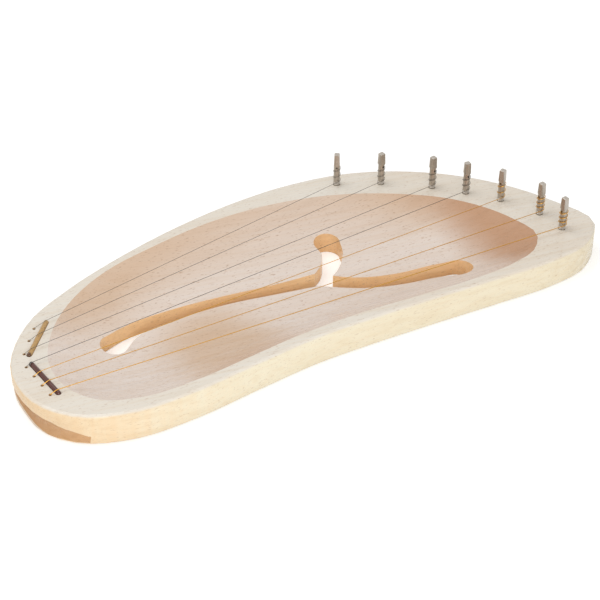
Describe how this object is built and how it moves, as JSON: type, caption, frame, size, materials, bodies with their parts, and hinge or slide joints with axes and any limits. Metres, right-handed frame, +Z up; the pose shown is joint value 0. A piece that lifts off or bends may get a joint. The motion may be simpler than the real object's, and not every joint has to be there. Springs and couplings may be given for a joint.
{
  "type": "pentatonic lyre",
  "caption": "Flat-lying pentatonic lyre of one carved piece of pale wood, with a dished top, a three-lobed sound hole, metal strings over low bridges and upright tuning pins.",
  "frame": {"origin": "centre of the bounding box on the flat underside", "axes": "+X towards the wide end with the tuning pins, +Y towards the bulging back edge, +Z up out of the dished face"},
  "size_m": [0.452, 0.221, 0.0515],
  "materials": {
    "pale_wood": "satin oiled, fine grain along the length",
    "treble_bridge": "smooth golden brown bar",
    "bass_bridge": "smooth dark red-brown bar",
    "pin_steel": "satin nickel, fine thread near the wood",
    "string_steel": "plain drawn wire",
    "string_bronze": "bronze-coloured wound wire",
    "ball_brass": "turned brass"
  },
  "bodies": {
    "lyre_body": {"body": "pale_wood", "bridge_treble": "treble_bridge", "bridge_bass": "bass_bridge", "ball_end_1": "ball_brass", "ball_end_2": "ball_brass", "ball_end_3": "ball_brass", "ball_end_4": "ball_brass", "ball_end_5": "ball_brass", "ball_end_6": "ball_brass", "ball_end_7": "ball_brass", "string_1": "string_steel", "string_2": "string_steel", "string_3": "string_steel", "string_4": "string_steel", "string_5": "string_bronze", "string_6": "string_bronze", "string_7": "string_bronze"},
    "pin_1": {"tuning_pin_1": "pin_steel", "winding_1": "string_steel"},
    "pin_2": {"tuning_pin_2": "pin_steel", "winding_2": "string_steel"},
    "pin_3": {"tuning_pin_3": "pin_steel", "winding_3": "string_steel"},
    "pin_4": {"tuning_pin_4": "pin_steel", "winding_4": "string_steel"},
    "pin_5": {"tuning_pin_5": "pin_steel", "winding_5": "string_bronze"},
    "pin_6": {"tuning_pin_6": "pin_steel", "winding_6": "string_bronze"},
    "pin_7": {"tuning_pin_7": "pin_steel", "winding_7": "string_bronze"}
  },
  "joints": [
    {"name": "tune_1", "type": "hinge", "parent": "lyre_body", "child": "pin_1", "pos_m": [0.05946, 0.09626, 0.024], "axis": [0, 0, 1], "range_deg": [-90, 45]},
    {"name": "tune_2", "type": "hinge", "parent": "lyre_body", "child": "pin_2", "pos_m": [0.09248, 0.08575, 0.024], "axis": [0, 0, 1], "range_deg": [-90, 45]},
    {"name": "tune_3", "type": "hinge", "parent": "lyre_body", "child": "pin_3", "pos_m": [0.128, 0.06723, 0.024], "axis": [0, 0, 1], "range_deg": [-90, 45]},
    {"name": "tune_4", "type": "hinge", "parent": "lyre_body", "child": "pin_4", "pos_m": [0.14952, 0.05122, 0.024], "axis": [0, 0, 1], "range_deg": [-90, 45]},
    {"name": "tune_5", "type": "hinge", "parent": "lyre_body", "child": "pin_5", "pos_m": [0.17053, 0.03271, 0.024], "axis": [0, 0, 1], "range_deg": [-90, 45]},
    {"name": "tune_6", "type": "hinge", "parent": "lyre_body", "child": "pin_6", "pos_m": [0.19055, 0.00619, 0.024], "axis": [0, 0, 1], "range_deg": [-90, 45]},
    {"name": "tune_7", "type": "hinge", "parent": "lyre_body", "child": "pin_7", "pos_m": [0.19755, -0.01733, 0.024], "axis": [0, 0, 1], "range_deg": [-90, 45]}
  ]
}
